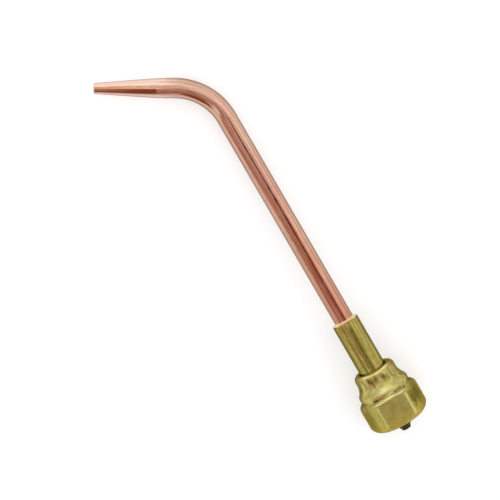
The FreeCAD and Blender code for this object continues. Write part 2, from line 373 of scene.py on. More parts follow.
def cut_away(piece, cutter):
    """Cut the cutter's shape out of the piece and remove the cutter."""
    finish_with(piece, "BOOLEAN", operation="DIFFERENCE", solver="EXACT", object=cutter)
    bpy.data.objects.remove(cutter)


def soften_edges(piece, width):
    """Round the piece's sharp edges."""
    finish_with(piece, "BEVEL", width=width, segments=2, limit_method="ANGLE", angle_limit=math.radians(25))


def unbend(point):
    """Where a point of the tip would be if the tube were straight."""
    tube = settings().tube
    start = settings().tail.sleeve_length + tube.straight_run
    if point.z <= start:
        return point.copy()
    inwards = tube.bend_radius - point.x
    above = point.z - start
    angle = min(math.atan2(above, inwards), tube.bend_turn)
    out = Vector((-math.cos(angle), math.sin(angle)))
    along = Vector((math.sin(angle), math.cos(angle)))
    offset = Vector((-inwards, above))
    height = start + tube.bend_radius * angle + offset.dot(along)
    return Vector((tube.bend_radius - offset.dot(out), point.y, height))


def note_upright(piece, unbent):
    """Keep each point's place on the upright piece as an attribute that the finishes follow."""
    kept = piece.data.attributes.new(UPRIGHT, "FLOAT_VECTOR", "POINT")
    for vertex, item in zip(piece.data.vertices, kept.data):
        item.vector = unbend(vertex.co) if unbent else vertex.co


def hand_over(piece, finish, node, body="tip", degrees=30, unbent=False):
    """Lay the piece down, shade it smooth up to this angle, give it its finish and body, and hide the node that
    it stands for.
    """
    note_upright(piece, unbent)
    select_only(piece)
    piece.matrix_world = nut_place() if body == "nut" else tip_place()
    bpy.ops.object.transform_apply(location=True, rotation=True, scale=True)
    bpy.ops.object.shade_smooth_by_angle(angle=math.radians(degrees))
    piece.data.materials.append(finish)
    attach(piece, body)
    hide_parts(node)


# Shader nodes

def fill_socket(tree, socket, value):
    """Give a socket a value, or link another node's socket to it."""
    if isinstance(value, bpy.types.NodeSocket):
        tree.links.new(value, socket)
    else:
        socket.default_value = value


def add_node(tree, kind, inputs=(), **values):
    """Add a node; each input is given as a name or number and a value or another node's socket."""
    made = tree.nodes.new("ShaderNode" + kind)
    for name, value in values.items():
        setattr(made, name, value)
    for key, value in dict(inputs).items():
        fill_socket(tree, made.inputs[key], value)
    return made


def calculate(tree, operation, first, second=0.0):
    return add_node(tree, "Math", {0: first, 1: second}, operation=operation).outputs[0]


def calculate_vector(tree, operation, first, second=(0, 0, 0)):
    """The outputs of a vector calculation: Vector, or Value where it gives a number."""
    return add_node(tree, "VectorMath", {0: first, 1: second}, operation=operation).outputs


def length_of(tree, vector):
    return calculate_vector(tree, "LENGTH", vector)["Value"]


def mix_colours(tree, factor, first, second):
    return add_node(tree, "Mix", {0: factor, 6: first, 7: second}, data_type="RGBA").outputs[2]


def map_range(tree, value, low, high, start=0.0, end=1.0):
    spread = {"Value": value, "From Min": low, "From Max": high, "To Min": start, "To Max": end}
    return add_node(tree, "MapRange", spread, interpolation_type="SMOOTHSTEP").outputs[0]


def opaque(value):
    return (*value, 1.0)


def lay_tones(tree, base, layers):
    """Lay tones over the base, each where its mask is and as strongly as its strength says."""
    for mask, strength, tone in layers:
        base = mix_colours(tree, calculate(tree, "MULTIPLY", mask, strength), base, opaque(tone))
    return base


def band(tree, value, centre, half, fade):
    """1 where the value is within half of the centre, fading to 0 past it."""
    away = calculate(tree, "ABSOLUTE", calculate(tree, "SUBTRACT", value, centre))
    return map_range(tree, away, half + fade, half)


def both(tree, first, second):
    """Mask of what is in both masks."""
    return calculate(tree, "MULTIPLY", first, second)


def but_not(tree, first, second):
    """Mask of what is in the first mask and not in the second."""
    return both(tree, first, calculate(tree, "SUBTRACT", 1.0, second))


def up_the_piece(tree, place):
    """Height on the upright piece."""
    return add_node(tree, "SeparateXYZ", {0: place}).outputs["Z"]


def round_the_piece(tree, place):
    """Angle round the upright centre line from the side that lies on top, positive towards the outlet's side."""
    axes = add_node(tree, "SeparateXYZ", {0: place}).outputs
    return calculate(tree, "ARCTAN2", axes["X"], axes["Y"])


def off_the_centre_line(tree, place):
    """Distance from the upright piece's centre line."""
    return length_of(tree, calculate_vector(tree, "MULTIPLY", place, (1, 1, 0))["Vector"])


def past_angle(tree, angle, low, high):
    """0 up to the low angle and 1 from the high one, both in degrees."""
    return map_range(tree, angle, math.radians(low), math.radians(high))


def shaded_flanks(tree, angle, low, high):
    """0 on top of the piece and 1 on its sides, where painted shade darkens the colour."""
    return past_angle(tree, calculate(tree, "ABSOLUTE", angle), low, high)


def new_group(name, inputs, outputs):
    """Empty shader node group; an input whose default is None is a vector, and the others are numbers."""
    group = bpy.data.node_groups.new(name, "ShaderNodeTree")
    for label, default in inputs.items():
        kind = "NodeSocketVector" if default is None else "NodeSocketFloat"
        socket = group.interface.new_socket(name=label, in_out="INPUT", socket_type=kind)
        if default is not None:
            socket.default_value = default
    for label in outputs:
        group.interface.new_socket(name=label, in_out="OUTPUT", socket_type="NodeSocketFloat")
    given = group.nodes.new("NodeGroupInput").outputs
    wanted = group.nodes.new("NodeGroupOutput").inputs
    return group, given, wanted


def new_noise_group(name, inputs):
    """Group for a mask and a height that follow a noise."""
    inputs = {"Vector": None, **inputs, "Low": 0.45, "High": 0.62, "Place": 0.0}
    return new_group(name, inputs, ("Mask", "Height"))


def end_noise_group(group, given, wanted, **noise_inputs):
    """Add the noise with these inputs, and put out its height and the mask between its two limits."""
    noise_inputs["W"] = given["Place"]
    noise = add_node(group, "TexNoise", noise_inputs, noise_dimensions="4D").outputs[0]
    group.links.new(map_range(group, noise, given["Low"], given["High"]), wanted["Mask"])
    group.links.new(noise, wanted["Height"])
    return group


def streak_group():
    """Long marks along the upright axis, such as a drawing die leaves."""
    group, given, wanted = new_noise_group("Drawn Streaks", {"Width": 0.001, "Length": 0.03})
    across = calculate(group, "DIVIDE", 1.0, given["Width"])
    along = calculate(group, "DIVIDE", 1.0, given["Length"])
    scale = add_node(group, "CombineXYZ", {0: across, 1: across, 2: along}).outputs[0]
    stretched = calculate_vector(group, "MULTIPLY", given["Vector"], scale)["Vector"]
    return end_noise_group(group, given, wanted, Vector=stretched, Scale=1.0, Detail=3.0, Roughness=0.6)


def blotch_group():
    """Cloudy patches of tarnish or handling marks."""
    group, given, wanted = new_noise_group("Blotches", {"Size": 0.003})
    scale = calculate(group, "DIVIDE", 1.0, given["Size"])
    return end_noise_group(
        group, given, wanted, Vector=given["Vector"], Scale=scale, Detail=5.0, Roughness=0.55, Distortion=0.4
    )


def spot_group():
    """One soft spot at a place on the upright piece, with a ragged edge."""
    group, given, wanted = new_group(
        "Spot", {"Vector": None, "Centre": None, "Size": None, "Raggedness": 0.5, "Grain": 0.001}, ("Mask",)
    )
    away = calculate_vector(group, "SUBTRACT", given["Vector"], given["Centre"])["Vector"]
    distance = length_of(group, calculate_vector(group, "DIVIDE", away, given["Size"])["Vector"])
    scale = calculate(group, "DIVIDE", 1.0, given["Grain"])
    noise = add_node(group, "TexNoise", {"Vector": given["Vector"], "Scale": scale, "Detail": 3.0})
    centred = calculate(group, "SUBTRACT", noise.outputs[0], 0.5)
    ragged = calculate(group, "MULTIPLY", calculate(group, "MULTIPLY", centred, given["Raggedness"]), 4.0)
    total = calculate(group, "ADD", distance, ragged)
    group.links.new(map_range(group, total, 1.0, 0.2), wanted["Mask"])
    return group


def use_group(tree, name, **inputs):
    """Place a shared effect in a material with its own values; it is built the first time."""
    makers = {"Drawn Streaks": streak_group, "Blotches": blotch_group, "Spot": spot_group}
    made = add_node(tree, "Group", node_tree=bpy.data.node_groups.get(name) or makers[name]())
    for label, value in inputs.items():
        fill_socket(tree, made.inputs[label], value)
    return made.outputs


def streaks(tree, place, width, length, low, high, seed=0.0):
    """Drawn streaks of this width and length in millimetres."""
    return use_group(
        tree, "Drawn Streaks", Vector=place, Width=width * MM, Length=length * MM, Low=low, High=high, Place=seed
    )


def blotches(tree, place, size, low, high, seed=0.0):
    """Blotches of this size in millimetres."""
    return use_group(tree, "Blotches", Vector=place, Size=size * MM, Low=low, High=high, Place=seed)


def new_material(name, **values):
    """Material whose Principled BSDF has these values, and its node tree."""
    material = bpy.data.materials.new(name)
    material.use_nodes = True
    tree = material.node_tree
    shader = tree.nodes["Principled BSDF"]
    for label, value in values.items():
        shader.inputs[label.replace("_", " ")].default_value = value
    return material, tree


def new_finish(name, **values):
    """Material of a piece, its node tree, and the point's place on the upright piece."""
    material, tree = new_material(name, **values)
    return material, tree, add_node(tree, "Attribute", attribute_name=UPRIGHT).outputs["Vector"]


def end_finish(material, tone, cloud, smooth, rough, height, depth):
    """Link the colour, a roughness that goes with the clouds, and a bump of this depth in millimetres."""
    tree = material.node_tree
    inputs = tree.nodes["Principled BSDF"].inputs
    tree.links.new(tone, inputs["Base Color"])
    tree.links.new(map_range(tree, cloud["Height"], 0.3, 0.7, smooth, rough), inputs["Roughness"])
    bump = add_node(tree, "Bump", {"Strength": 1.0, "Distance": depth * MM, "Height": height})
    tree.links.new(bump.outputs[0], inputs["Normal"])
    return material


def copper_finish():
    """Drawn copper: peach and pink with fine lines along the tube, and redder where the brazing heat reached;
    painted shade darkens its flanks, a painted sheen pales the leg's sides, and a painted reflection lays a dark
    streak on the cone.
    """
    material, tree, place = new_finish("Drawn copper", Metallic=1.0, Specular_Tint=EDGE_TINT)
    tube, tail = settings().tube, settings().tail
    height, angle = up_the_piece(tree, place), round_the_piece(tree, place)
    fine = streaks(tree, place, 0.24, 16, 0.46, 0.62)
    broad = streaks(tree, place, 1.3, 45, 0.42, 0.6, seed=3.0)
    flecks = streaks(tree, place, 0.3, 2.4, 0.5, 0.64, seed=7.0)
    cloud = blotches(tree, place, 4.5, 0.45, 0.7)
    mouth = tail.sleeve_length
    bend_end = mouth + tube.straight_run + tube.bend_radius * tube.bend_turn
    outlet = bend_end + tube.swage_lead + tube.swage_blend + tube.swage_length
    leg = map_range(tree, height, bend_end - 5 * MM, bend_end + 5 * MM)
    heated = map_range(tree, height, mouth + tail.heat_reach, mouth)
    tanned = map_range(tree, height, outlet - 22 * MM, outlet - 4 * MM)
    # Painted reflection: a dark red-brown streak along one side of the cone, ending abruptly 19.6 mm before the
    # outlet and fading out towards it
    line = band(tree, angle, math.radians(14), math.radians(9), math.radians(7))
    line = both(tree, line, map_range(tree, height, outlet, outlet - 15 * MM))
    painted_dark_streak = both(tree, line, map_range(tree, height, outlet - 19.6 * MM, outlet - 19 * MM))
    tone = lay_tones(tree, opaque(colour(230, 192, 168)), (
        (broad["Mask"], 0.6, colour(218, 164, 138)),
        (cloud["Mask"], 0.45, colour(214, 158, 146)),
        (flecks["Mask"], 0.4, colour(194, 126, 102)),
        (fine["Mask"], 0.38, colour(176, 100, 70)),
        (heated, 0.7, colour(194, 122, 96)),
        (tanned, 0.5, colour(208, 146, 104)),
        # Painted sheen: both sides of the leg past the bend paler and pinker
        (both(tree, leg, past_angle(tree, angle, -16, -36)), 0.75, colour(242, 218, 206)),
        (both(tree, leg, past_angle(tree, angle, 24, 44)), 0.75, colour(224, 192, 188)),
        # Painted shade: the tube's flanks darker and greyer away from the leg
        (but_not(tree, shaded_flanks(tree, angle, 40, 62), leg), 0.75, colour(172, 146, 130)),
        (painted_dark_streak, 0.95, colour(166, 90, 56)),
    ))
    return end_finish(material, tone, cloud, 0.07, 0.15, fine["Height"], 0.003)


def turned_brass_finish():
    """Turned brass, lightly tarnished, with long dark lines along the sleeve, painted shade on its flanks, and
    painted shade that blackens the nose.
    """
    material, tree, place = new_finish("Turned brass", Metallic=1.0, Specular_Tint=EDGE_TINT)
    stem, nose = tail_levels()[1:3]
    fine = streaks(tree, place, 0.26, 11, 0.46, 0.6)
    broad = streaks(tree, place, 1.2, 26, 0.5, 0.62, seed=2.0)
    cloud = blotches(tree, place, 1.5, 0.45, 0.62)
    tone = lay_tones(tree, opaque(colour(188, 175, 98)), (
        (cloud["Mask"], 0.55, colour(166, 152, 76)),
        (broad["Mask"], 0.5, colour(130, 116, 44)),
        # Painted shade: darker flanks
        (shaded_flanks(tree, round_the_piece(tree, place), 42, 62), 0.75, colour(128, 114, 62)),
        (fine["Mask"], 0.6, colour(112, 98, 30)),
        # Painted shade: the stem darkening downwards to almost black at the nose
        (map_range(tree, up_the_piece(tree, place), stem, (stem + 2 * nose) / 3), 0.92, colour(58, 48, 18)),
    ))
    return end_finish(material, tone, cloud, 0.12, 0.26, fine["Height"], 0.006)


def forged_brass_finish():
    """Forged bell and milled hexagon: satin brass, stained under its rim and darker round the bell's foot, with
    painted shade on its sides and faces, a painted reflection round the mouth and painted highlights on its
    edges.
    """
    material, tree, place = new_finish("Forged brass", Metallic=1.0, Specular_Tint=EDGE_TINT)
    nut = settings().nut
    height, angle = up_the_piece(tree, place), round_the_piece(tree, place)
    cloud = blotches(tree, place, 3.0, 0.42, 0.66)
    foot_blotches = blotches(tree, place, 2.0, 0.5, 0.6, seed=2.0)
    runs = streaks(tree, place, 0.9, 3.5, 0.47, 0.6)
    grain = blotches(tree, place, 0.4, 0.4, 0.6, seed=5.0)
    neck = nut.height - nut.bead_height - nut.neck_height / 2
    corner = nut.across_flats / 2 / math.cos(HEX_TURN / 2)
    on_bell = map_range(tree, height, nut.hex_height, nut.hex_height + 0.4 * MM)
    hexagon = lay_tones(tree, opaque(colour(180, 168, 94)), [(cloud["Mask"], 0.8, colour(160, 147, 74))])
    bell = lay_tones(tree, opaque(colour(200, 189, 116)), [(cloud["Mask"], 0.9, colour(166, 151, 76))])
    foot = band(tree, height, nut.hex_height + 0.4 * MM, 0.5 * MM, 0.7 * MM)
    tone = lay_tones(tree, mix_colours(tree, on_bell, hexagon, bell), (
        # Painted reflection: a yellower band round the mouth
        (band(tree, height, 0.0, 3.0 * MM, 1.5 * MM), 0.45, colour(200, 176, 78)),
        # Painted shade: darker flanks
        (shaded_flanks(tree, angle, 44, 78), 0.6, colour(126, 108, 54)),
        (both(tree, band(tree, height, neck, 1.5 * MM, 0.9 * MM), runs["Mask"]), 0.5, DARK_STAIN),
        # Darker blotches round the bell's foot, where it meets the hexagon
        (both(tree, foot, foot_blotches["Mask"]), 0.6, DARK_STAIN),
    ))
    for centre, size, strength, mark in NUT_MARKS_AND_PAINTED_SHADE:
        spot = use_group(
            tree, "Spot", Vector=place, Centre=Vector(centre) * MM, Size=Vector(size) * MM,
            Raggedness=0.35, Grain=0.9 * MM,
        )
        tone = lay_tones(tree, tone, [(spot["Mask"], strength, mark)])
    # Painted highlights: a bright line under the hexagon's shoulder and one round the rim, both kept off the
    # sides, and bright lines along the hexagon's corners
    shoulder = but_not(tree, band(tree, height, nut.hex_height - 0.3 * MM, 0.2 * MM, 0.3 * MM), on_bell)
    rim = map_range(tree, height, nut.height - 0.9 * MM, nut.height - 0.3 * MM)
    arris_highlight = map_range(tree, off_the_centre_line(tree, place), corner - 0.35 * MM, corner - 0.1 * MM)
    tone = lay_tones(tree, tone, (
        (but_not(tree, shoulder, shaded_flanks(tree, angle, 28, 40)), 0.75, PAINTED_HIGHLIGHT),
        (arris_highlight, 0.45, PAINTED_HIGHLIGHT),
        (but_not(tree, rim, shaded_flanks(tree, angle, 30, 58)), 0.7, PAINTED_HIGHLIGHT),
    ))
    return end_finish(material, tone, cloud, 0.24, 0.38, grain["Height"], 0.05)


def braze_finish():
    """Bright brazing metal."""
    material, tree, place = new_finish("Brazing metal", Metallic=1.0)
    cloud = blotches(tree, place, 0.9, 0.4, 0.65)
    tone = mix_colours(tree, cloud["Mask"], opaque(colour(246, 220, 178)), opaque(colour(226, 184, 134)))
    return end_finish(material, tone, cloud, 0.2, 0.4, cloud["Height"], 0.08)


def rubber_finish():
    """Black rubber with a faint bloom."""
    material, tree, place = new_finish("Seal rubber", Metallic=0.0)
    cloud = blotches(tree, place, 0.8, 0.45, 0.7)
    tone = mix_colours(tree, cloud["Mask"], opaque(colour(46, 38, 18)), opaque(colour(66, 56, 26)))
    return end_finish(material, tone, cloud, 0.4, 0.6, cloud["Height"], 0.02)


# Pieces

class OBJECT_OT_brazing_tip_tube(bpy.types.Operator):
    """Model the bent and swaged copper tube"""

    bl_idname = "object.brazing_tip_tube"
    bl_label = "Copper Tube"

    def execute(self, context):
        tube, tail = settings().tube, settings().tail
        outside = tube.diameter / 2
        bore = outside - tube.wall
        foot = tail.sleeve_length - tail.socket_depth
        bend_start = tail.sleeve_length + tube.straight_run
        rings = 32
        start_ring(bore, foot, tube.segments)
        pull_ring((0, 0, 0), outside / bore, (0, 0, foot))
        for _ in range(rings):
            pull_ring((0, 0, (bend_start - foot) / rings), 1.0, (0, 0, 0))
        spin_bend(tube.bend_turn)
        leg_outline = outlet_outline()
        pull_leg(leg_outline)
        spin_bend(-tube.bend_turn)
        for _ in range(rings):
            pull_ring((0, 0, (foot - bend_start) / rings), 1.0, (0, 0, 0))
        piece = leave_edit("copper_tube")
        hand_over(piece, copper_finish(), "tip_tube", unbent=True)
        return {"FINISHED"}


def spin_bend(angle):
    """Spin the selected ring round the bend, forwards or back."""
    tube, tail = settings().tube, settings().tail
    centre = (tube.bend_radius, 0, tail.sleeve_length + tube.straight_run)
    bpy.ops.mesh.spin(steps=30, angle=-angle, center=centre, axis=(0, 1, 0))


def outlet_outline():
    """Radius and distance past the bend, out along the skin and back down the bore."""
    tube = settings().tube
    outside, outlet, orifice = tube.diameter / 2, tube.outlet_diameter / 2, tube.orifice / 2
    bore = outside - tube.wall
    knee = tube.swage_lead + tube.swage_blend
    end = knee + tube.swage_length
    slope = math.atan2(outside - outlet, tube.swage_length)
    blend_start = (outside, tube.swage_lead)
    blend_end = (outside - tube.swage_blend * math.sin(slope), knee + tube.swage_blend * math.cos(slope))
    edge_low = (outlet + tube.edge_round * math.tan(slope), end - tube.edge_round)
    edge_high = (outlet - tube.edge_round, end)
    outline = [(outside, 0), blend_start]
    outline += arc_points(blend_start, blend_end, tube.swage_blend / math.tan(slope / 2), 10)
    outline += between(blend_end, edge_low, 12)
    outline += arc_points(edge_low, edge_high, tube.edge_round, 5)
    outline += [
        (orifice + tube.countersink, end),
        (orifice, end - tube.countersink),
        (orifice, end - tube.land),
        (bore, knee),
        (bore, 0),
    ]
    return outline


def between(start, end, steps):
    """Evenly spaced points after start on the line to end."""
    return [tuple(Vector(start).lerp(Vector(end), step / steps)) for step in range(1, steps + 1)]


def pull_leg(outline):
    """Pull the selected ring along the leg past the bend, with the outline's radii."""
    tube, tail = settings().tube, settings().tail
    turn = tube.bend_turn
    away = Vector((math.sin(turn), 0, math.cos(turn)))
    corner = Vector((
        tube.bend_radius * (1 - math.cos(turn)), 0,
        tail.sleeve_length + tube.straight_run + tube.bend_radius * math.sin(turn),
    ))
    radius, distance = outline[0]
    for next_radius, next_distance in outline[1:]:
        centre = corner + away * next_distance
        pull_ring(away * (next_distance - distance), next_radius / radius, centre)
        radius, distance = next_radius, next_distance


def tail_levels():
    """Heights of the tail's boss, stem, nose and seals below the collar's upper edge."""
    tail = settings().tail
    boss = -tail.collar_length
    stem = boss - tail.boss_length
    nose = stem - tail.stem_length
    nose_seal = nose + tail.nose_lip + (tail.nose_seal + tail.groove_play) / 2
    boss_seal = stem + tail.boss_length / 2
    return boss, stem, nose, nose_seal, boss_seal


def groove_outline(radius, depth, section, level):
    """Square groove for a seal, from its lower to its upper edge."""
    half = (section + settings().tail.groove_play) / 2
    low, high, seat = level - half, level + half, radius - depth
    return [(radius, low), (seat, low), (seat, high), (radius, high)]


def tail_outline():
    """Outline of the tail from the jet in its nose round the outside and back down the bore."""
    tail, tube = settings().tail, settings().tube
    boss, stem, nose, nose_seal, boss_seal = tail_levels()
    sleeve, collar = tail.sleeve_diameter / 2, tail.collar_diameter / 2
    stem_radius, boss_radius = tail.stem_diameter / 2, tail.boss_diameter / 2
    mouth, chamfer = tail.sleeve_length, tail.mouth_chamfer
    socket = tube.diameter / 2 + tail.braze_gap
    bore = tube.diameter / 2 - tube.wall
    foot = mouth - tail.socket_depth
    lip = (stem_radius - tail.nose_round, nose)
    lip_side = (stem_radius, nose + tail.nose_round)
    fillet_low = (stem_radius, stem - tail.stem_fillet)
    fillet_high = (stem_radius + tail.stem_fillet, stem)
    outline = [(tail.jet / 2, nose), lip]
    outline += arc_points(lip, lip_side, tail.nose_round, 6)
    outline += groove_outline(stem_radius, tail.nose_groove, tail.nose_seal, nose_seal)
    outline += [fillet_low]
    outline += arc_points(fillet_high, fillet_low, tail.stem_fillet, 5)[-2::-1]
    outline += [fillet_high, (boss_radius, stem)]
    outline += groove_outline(boss_radius, tail.boss_groove, tail.boss_seal, boss_seal)
    outline += [
        (boss_radius, boss),
        (collar - tail.collar_edge, boss),
        (collar, boss + tail.collar_edge),
        (collar, 0),
        (sleeve, collar - sleeve),
    ]
    outline += between((sleeve, collar - sleeve), (sleeve, mouth - chamfer), 8)
    outline += [
        (sleeve - chamfer, mouth),
        (socket, mouth),
        (socket, foot),
        (bore, foot),
        (bore, 0),
        (tail.gas_passage / 2, 0),
        (tail.gas_passage / 2, nose + tail.jet_length),
        (tail.jet / 2, nose + tail.jet_length),
    ]
    return outline


class OBJECT_OT_brazing_tip_tail(bpy.types.Operator):
    """Model the turned brass tail that the tube is brazed into"""

    bl_idname = "object.brazing_tip_tail"
    bl_label = "Brass Tail"

    def execute(self, context):
        tail = settings().tail
        piece = turn_piece("brass_tail", tail_outline(), tail.segments)
        stem = tail_levels()[1]
        level = stem - tail.stem_fillet - tail.port_offset
        for quarter in (1, 3):
            drill = add_primitive(
                bpy.ops.mesh.primitive_cylinder_add, vertices=24, radius=tail.port / 2,
                depth=tail.stem_diameter * 2, location=(0, 0, level),
                rotation=(math.pi / 2, 0, quarter * math.pi / 4),
            )
            cut_away(piece, drill)
        soften_edges(piece, tail.edge_round)
        hand_over(piece, turned_brass_finish(), "tail_body")
        return {"FINISHED"}


class OBJECT_OT_brazing_tip_braze(bpy.types.Operator):
    """Model the fillet of brazing metal at the sleeve's mouth"""

    bl_idname = "object.brazing_tip_braze"
    bl_label = "Braze Fillet"

    def execute(self, context):
        tail, tube = settings().tail, settings().tube
        mouth, heel = tail.sleeve_length, tube.diameter / 2
        foot = (heel + tail.braze_width, mouth)
        top = (heel, mouth + tail.braze_height)
        hollow = arc_points(top, foot, math.hypot(tail.braze_width, tail.braze_height), 8)
        piece = turn_piece("braze_fillet_ring", [(heel, mouth), top] + hollow, tail.segments)
        hand_over(piece, braze_finish(), "braze_fillet")
        return {"FINISHED"}


def rubber_ring(name, section, seat_radius, level):
    """Round seal with a thin moulding line round its outside."""
    tail = settings().tail
    middle = seat_radius + tail.seal_gap + section / 2
    piece = add_primitive(
        bpy.ops.mesh.primitive_torus_add, major_segments=96, minor_segments=32, major_radius=middle,
        minor_radius=section / 2, location=(0, 0, level),
    )
    piece.name = name
    bpy.ops.object.transform_apply(location=True, rotation=True, scale=True)
    for vertex in piece.data.vertices:
        outwards = Vector((vertex.co.x, vertex.co.y, 0))
        if outwards.length > middle + section / 2 - 0.001 * MM:
            vertex.co += outwards.normalized() * tail.seal_flash
    return piece


class OBJECT_OT_brazing_tip_seals(bpy.types.Operator):
    """Model the two rubber seals in their grooves"""

    bl_idname = "object.brazing_tip_seals"
    bl_label = "Rubber Seals"

    def execute(self, context):
        tail = settings().tail
        nose_level, boss_level = tail_levels()[3:]
        finish = rubber_finish()
        nose = rubber_ring("nose_ring", tail.nose_seal, tail.stem_diameter / 2 - tail.nose_groove, nose_level)
        boss = rubber_ring("boss_ring", tail.boss_seal, tail.boss_diameter / 2 - tail.boss_groove, boss_level)
        for piece, node in ((nose, "nose_seal"), (boss, "boss_seal")):
            hand_over(piece, finish, node, degrees=60)
        return {"FINISHED"}


def blank_outline():
    """Outside of the nut before its flats are milled, from the mouth to the rim."""
    nut = settings().nut
    corner = nut.across_flats / 2 / math.cos(HEX_TURN / 2) + nut.relief_depth
    groove, foot, neck = nut.groove_diameter / 2, nut.foot_diameter / 2, nut.neck_diameter / 2
    groove_top = nut.hex_height + nut.groove_width
    neck_top = nut.height - nut.bead_height
    mouth = (nut.mouth_diameter / 2, 0)
    bevel_low = (corner, nut.mouth_bevel)
    bevel_high = (corner, nut.hex_height - nut.shoulder_bevel)
    shoulder = (nut.shoulder_diameter / 2, nut.hex_height)
    foot_low = (foot, groove_top + foot - groove)
    foot_high = (foot, nut.hex_height + nut.foot_height)
    neck_low = (neck, neck_top - nut.neck_height)
    rim_low = (neck, neck_top)
    rim_high = (neck - nut.bead_width, nut.height)
    outline = [mouth]
    outline += arc_points(mouth, bevel_low, nut.mouth_round, 12)
    outline += between(bevel_low, bevel_high, 16)
    outline += arc_points(bevel_high, shoulder, nut.shoulder_round, 12)
    outline += [(groove, nut.hex_height), (groove, groove_top), foot_low]
    outline += arc_points(foot_low, foot_high, nut.foot_round, 8)
    outline += arc_points(neck_low, foot_high, nut.curve_round, 12)[-2::-1]
    outline += [neck_low, rim_low]
    outline += arc_points(rim_low, rim_high, nut.bead_round, 10)
    return outline


def mill_flats():
    """Close the blank's ends and cut its six flats off with planes."""
    nut = settings().nut
    cap_ends()
    bpy.ops.mesh.select_all(action="SELECT")
    bpy.ops.mesh.normals_make_consistent(inside=False)
    for flat in range(6):
        angle = HEX_TURN * (flat + 0.5)
        normal = Vector((math.cos(angle), math.sin(angle), 0))
        bpy.ops.mesh.select_all(action="SELECT")
        bpy.ops.mesh.bisect(
            plane_co=normal * nut.across_flats / 2, plane_no=normal, use_fill=True, clear_outer=True
        )


def inside_outline():
    """Room inside the nut, from below its mouth up through the hole."""
    nut, tail = settings().nut, settings().tail
    major = nut.thread_diameter / 2
    crest = thread_crest()
    relief = major + nut.relief_depth
    space = tail.collar_diameter / 2 + nut.socket_clearance
    hole = tail.sleeve_diameter / 2 + nut.hole_clearance
    margin = 1.0 * MM
    relief_top = nut.thread_length + nut.relief_width
    return [
        (relief + margin, -margin),
        (crest, relief - crest),
        (crest, nut.thread_length),
        (relief, nut.thread_length + relief - crest),
        (relief, relief_top - relief + space),
        (space, relief_top),
        (space, nut.socket_depth - nut.socket_clearance),
        (hole, nut.socket_depth + tail.collar_diameter / 2 - hole),
        (hole, nut.height - nut.hole_chamfer),
        (hole + nut.hole_chamfer + margin, nut.height + margin),
    ]


def thread_crest():
    """Radius of the nut's thread crests in a unified thread."""
    nut = settings().nut
    return nut.thread_diameter / 2 - THREAD_DEPTH * nut.thread_pitch


def thread_cutter():
    """Helical ridge that cuts the thread's groove."""
    nut = settings().nut
    crest, root, pitch = thread_crest(), nut.thread_diameter / 2, nut.thread_pitch
    overlap = 0.15 * MM
    root_half, crest_half = pitch / 16, pitch * 3 / 8
    slope = (crest_half - root_half) / (root - crest)
    inner, inner_half = crest - overlap, crest_half + overlap * slope
    turns = math.ceil(nut.thread_length / pitch) + 1
    section = add_primitive(bpy.ops.mesh.primitive_plane_add, size=1.0)
    corners = [(inner, -inner_half), (inner, inner_half), (root, root_half), (root, -root_half)]
    order = sorted(section.data.vertices, key=lambda vertex: math.atan2(vertex.co.y, vertex.co.x))
    for vertex, (radius, height) in zip(order, corners):
        vertex.co = (radius, 0, height - pitch)
    edit_all()
    bpy.ops.mesh.delete(type="ONLY_FACE")
    bpy.ops.object.mode_set(mode="OBJECT")
    finish_with(
        section, "SCREW", axis="Z", angle=FULL_TURN, screw_offset=pitch, iterations=turns,
        steps=nut.segments // 2, render_steps=nut.segments // 2,
    )
    edit_all()
    bpy.ops.mesh.remove_doubles(threshold=0.0005 * MM)
    bpy.ops.mesh.fill_holes(sides=4)
    bpy.ops.mesh.normals_make_consistent(inside=False)
    bpy.ops.object.mode_set(mode="OBJECT")
    return section


def forge_skin(piece):
    """Soften the machined blank and give the bell the uneven skin of a forging."""
    nut = settings().nut
    bell = piece.vertex_groups.new(name="Bell")
    fade = 1.0 * MM
    for vertex in piece.data.vertices:
        share = min(max((vertex.co.z - nut.hex_height) / fade, 0.0), 1.0)
        bell.add([vertex.index], share, "REPLACE")
    clouds = bpy.data.textures.new("Forging", "CLOUDS")
    clouds.noise_scale = 2.4 * MM
    clouds.noise_depth = 2
    finish_with(
        piece, "DISPLACE", texture=clouds, texture_coords="LOCAL", strength=nut.unevenness, mid_level=0.4,
        vertex_group=bell.name,
    )


class OBJECT_OT_brazing_tip_nut(bpy.types.Operator):
    """Model the forged and milled union nut with its thread"""

    bl_idname = "object.brazing_tip_nut"
    bl_label = "Union Nut"

    def execute(self, context):
        nut = settings().nut
        piece = turn_piece("brass_union_nut", blank_outline(), nut.segments, mill_flats)
        finish_with(piece, "REMESH", mode="VOXEL", voxel_size=nut.grid)
        finish_with(piece, "SMOOTH", factor=0.5, iterations=8)
        finish_with(piece, "DISPLACE", strength=-nut.grid / 2, mid_level=0.0)
        forge_skin(piece)
        cut_away(piece, turn_piece("nut_inside", inside_outline(), nut.segments, cap_ends))
        cut_away(piece, thread_cutter())
        hand_over(piece, forged_brass_finish(), "union_nut", body="nut", degrees=35)
        return {"FINISHED"}


# Stage

class OBJECT_OT_brazing_tip_stage(bpy.types.Operator):
    """Set up the floor, the lights and the camera"""

    bl_idname = "object.brazing_tip_stage"
    bl_label = "Stage"

    def execute(self, context):
        make_floor()
        make_world()
        make_lights()
        make_camera()
        context.scene.view_settings.view_transform = "Standard"
        return {"FINISHED"}


def seen_directly(tree):
    """1 for what the camera, a reflection or a clear material shows, and 0 for light that falls on a surface."""
    path = add_node(tree, "LightPath").outputs
    shown = calculate(tree, "MAXIMUM", path["Is Camera Ray"], path["Is Glossy Ray"])
    return calculate(tree, "MAXIMUM", shown, path["Is Transmission Ray"])


